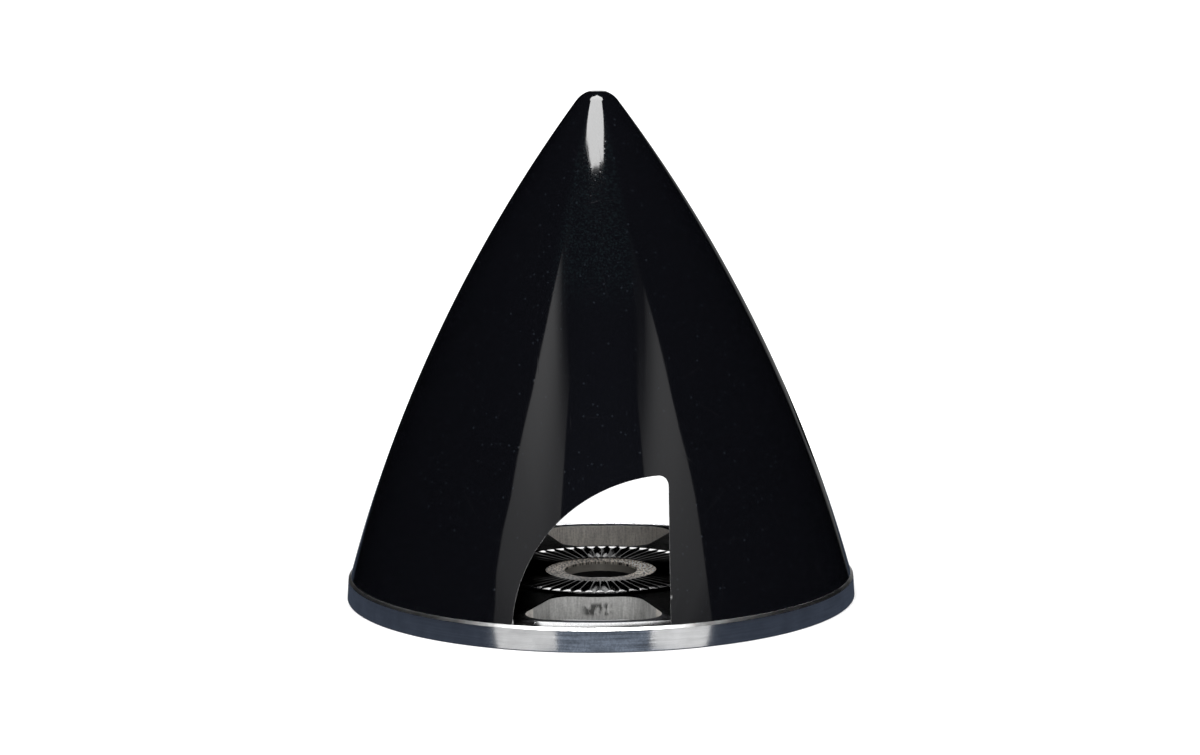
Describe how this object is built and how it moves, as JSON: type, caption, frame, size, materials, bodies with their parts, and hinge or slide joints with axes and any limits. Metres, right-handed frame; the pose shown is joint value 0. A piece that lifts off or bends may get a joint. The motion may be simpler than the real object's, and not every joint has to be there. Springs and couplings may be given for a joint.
{
  "type": "propeller spinner",
  "caption": "Pointed spinner for a two-blade model aircraft propeller: a moulded cone with blade cut-outs on a turned back plate with a serrated drive face.",
  "frame": {"origin": "centre of the back plate's flat back face, where the shaft's axis passes through it", "axes": "+Z along the shaft's axis towards the nose; the blade cut-outs face -Y and +Y; the cone's screws lie on X"},
  "size_m": [0.057, 0.057, 0.0567],
  "materials": {
    "cone_black": "gloss moulded nylon",
    "plate_aluminium": "turned, fine circular lines",
    "screw_steel": "zinc plated"
  },
  "bodies": {
    "root": {"spinner_cone": "cone_black", "back_plate": "plate_aluminium", "cone_screws": "screw_steel"}
  },
  "joints": []
}
